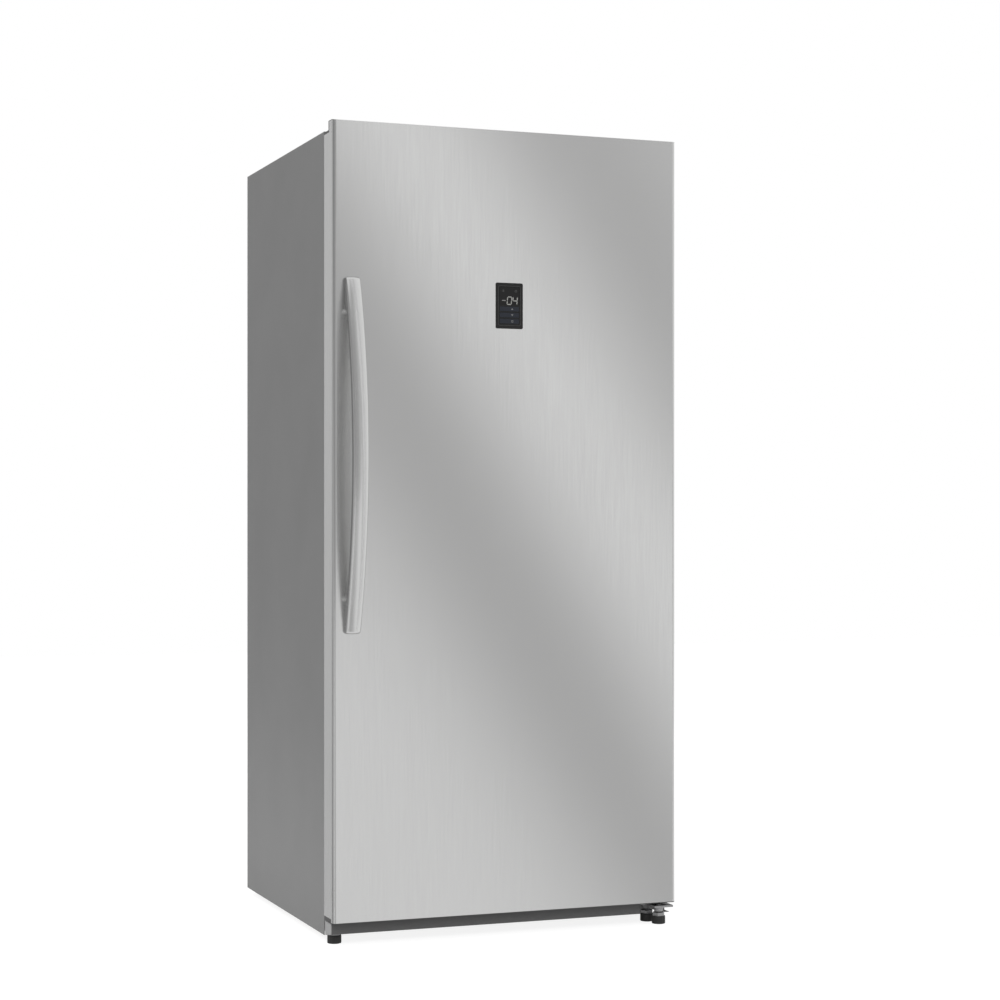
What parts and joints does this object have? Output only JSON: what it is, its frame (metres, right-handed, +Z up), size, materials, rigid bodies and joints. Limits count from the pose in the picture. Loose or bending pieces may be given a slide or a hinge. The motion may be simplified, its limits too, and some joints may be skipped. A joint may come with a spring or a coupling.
{
  "type": "upright freezer",
  "caption": "Free-standing upright freezer with a single hinged door, bowed bar handle, door control panel, shelves, basket and a rear machine room.",
  "frame": {"origin": "on the floor, under the middle of the object's bounding box", "axes": "+Z up; the door faces -Y; the door's hinges are at +X"},
  "size_m": [0.712, 0.728, 1.564],
  "materials": {
    "cabinet_paint": "satin",
    "stainless": "satin",
    "steel": "satin",
    "black_metal": "satin",
    "copper": "satin",
    "dark_plastic": "matte",
    "black_plastic": "gloss",
    "white_plastic": "satin",
    "clear_plastic": "gloss",
    "foam": "matte",
    "gasket_rubber": "matte"
  },
  "bodies": {
    "cabinet": {"side_panel_left": "cabinet_paint", "side_panel_right": "cabinet_paint", "top_panel": "cabinet_paint", "rear_panel": "steel", "cabinet_foam": "foam", "inner_liner": "white_plastic", "interior_lamp": "clear_plastic", "shelf_1": "white_plastic", "shelf_2": "white_plastic", "shelf_3": "white_plastic", "shelf_4": "white_plastic", "basket_rail_left": "white_plastic", "basket_rail_right": "white_plastic", "evaporator_cover": "white_plastic", "evaporator_coil": "steel", "defrost_heater": "steel", "evaporator_fan_motor": "black_metal", "base_frame": "steel", "kick_plate": "dark_plastic", "compressor": "black_metal", "condenser_coil": "black_metal", "condenser_fan_motor": "black_metal", "refrigerant_line": "copper", "drain_tube": "dark_plastic", "drain_pan": "dark_plastic", "machine_cover": "steel", "cord_inlet": "black_plastic", "top_hinge": "steel", "hinge_cover": "dark_plastic", "bottom_hinge": "steel"},
    "door": {"door_skin": "stainless", "door_foam": "foam", "door_liner": "white_plastic", "door_gasket": "gasket_rubber", "door_cap_top": "dark_plastic", "door_cap_bottom": "dark_plastic", "hinge_bush": "white_plastic", "handle": "stainless", "handle_stud_low": "steel", "handle_stud_high": "steel", "control_bezel": "black_plastic", "control_board": "dark_plastic", "display_window": "black_plastic"},
    "button_up": {"button_up": "black_plastic"},
    "button_down": {"button_down": "black_plastic"},
    "button_mode": {"button_mode": "black_plastic"},
    "door_bin_1": {"door_bin_1": "clear_plastic"},
    "door_bin_2": {"door_bin_2": "clear_plastic"},
    "door_bin_3": {"door_bin_3": "clear_plastic"},
    "door_bin_4": {"door_bin_4": "clear_plastic"},
    "basket": {"basket": "white_plastic"},
    "evaporator_fan_blade": {"evaporator_fan_blade": "white_plastic"},
    "condenser_fan_blade": {"condenser_fan_blade": "dark_plastic"},
    "roller_left": {"roller_left": "dark_plastic"},
    "roller_right": {"roller_right": "dark_plastic"},
    "foot_left": {"foot_left": "black_plastic"},
    "foot_right": {"foot_right": "black_plastic"},
    "foot_hinge": {"foot_hinge": "black_plastic"}
  },
  "joints": [
    {"name": "door_swing", "type": "hinge", "parent": "cabinet", "child": "door", "pos_m": [0.341, -0.267, 0.8], "axis": [0, 0, 1], "range_deg": [0, 120]},
    {"name": "basket_slide", "type": "slide", "parent": "cabinet", "child": "basket", "axis": [0, -1, 0], "range_m": [0, 0.18]},
    {"name": "button_up_press", "type": "slide", "parent": "door", "child": "button_up", "axis": [0, 1, 0], "range_m": [0, 0.0008], "stiffness_N_per_m": 300},
    {"name": "button_down_press", "type": "slide", "parent": "door", "child": "button_down", "axis": [0, 1, 0], "range_m": [0, 0.0008], "stiffness_N_per_m": 300},
    {"name": "button_mode_press", "type": "slide", "parent": "door", "child": "button_mode", "axis": [0, 1, 0], "range_m": [0, 0.0008], "stiffness_N_per_m": 300},
    {"name": "door_bin_1_lift", "type": "slide", "parent": "door", "child": "door_bin_1", "axis": [0, 0, 1], "range_m": [0, 0.025]},
    {"name": "door_bin_2_lift", "type": "slide", "parent": "door", "child": "door_bin_2", "axis": [0, 0, 1], "range_m": [0, 0.025]},
    {"name": "door_bin_3_lift", "type": "slide", "parent": "door", "child": "door_bin_3", "axis": [0, 0, 1], "range_m": [0, 0.025]},
    {"name": "door_bin_4_lift", "type": "slide", "parent": "door", "child": "door_bin_4", "axis": [0, 0, 1], "range_m": [0, 0.025]},
    {"name": "evaporator_fan_spin", "type": "hinge", "parent": "cabinet", "child": "evaporator_fan_blade", "pos_m": [0, 0.2507, 1.0063], "axis": [0, 1, 0], "continuous": true},
    {"name": "condenser_fan_spin", "type": "hinge", "parent": "cabinet", "child": "condenser_fan_blade", "pos_m": [-0.052, 0.259, 0.145], "axis": [1, 0, 0], "continuous": true},
    {"name": "roller_left_spin", "type": "hinge", "parent": "cabinet", "child": "roller_left", "pos_m": [-0.3, 0.334, 0.015], "axis": [1, 0, 0], "continuous": true},
    {"name": "roller_right_spin", "type": "hinge", "parent": "cabinet", "child": "roller_right", "pos_m": [0.3, 0.334, 0.015], "axis": [1, 0, 0], "continuous": true},
    {"name": "foot_left_screw", "type": "slide", "parent": "cabinet", "child": "foot_left", "axis": [0, 0, -1], "range_m": [0, 0.012]},
    {"name": "foot_right_screw", "type": "slide", "parent": "cabinet", "child": "foot_right", "axis": [0, 0, -1], "range_m": [0, 0.012]},
    {"name": "foot_hinge_screw", "type": "slide", "parent": "cabinet", "child": "foot_hinge", "axis": [0, 0, -1], "range_m": [0, 0.012]}
  ],
  "couplings": [
    {"joint": "basket_slide", "follows": "door_swing", "m_per_rad": 0.0859}
  ]
}
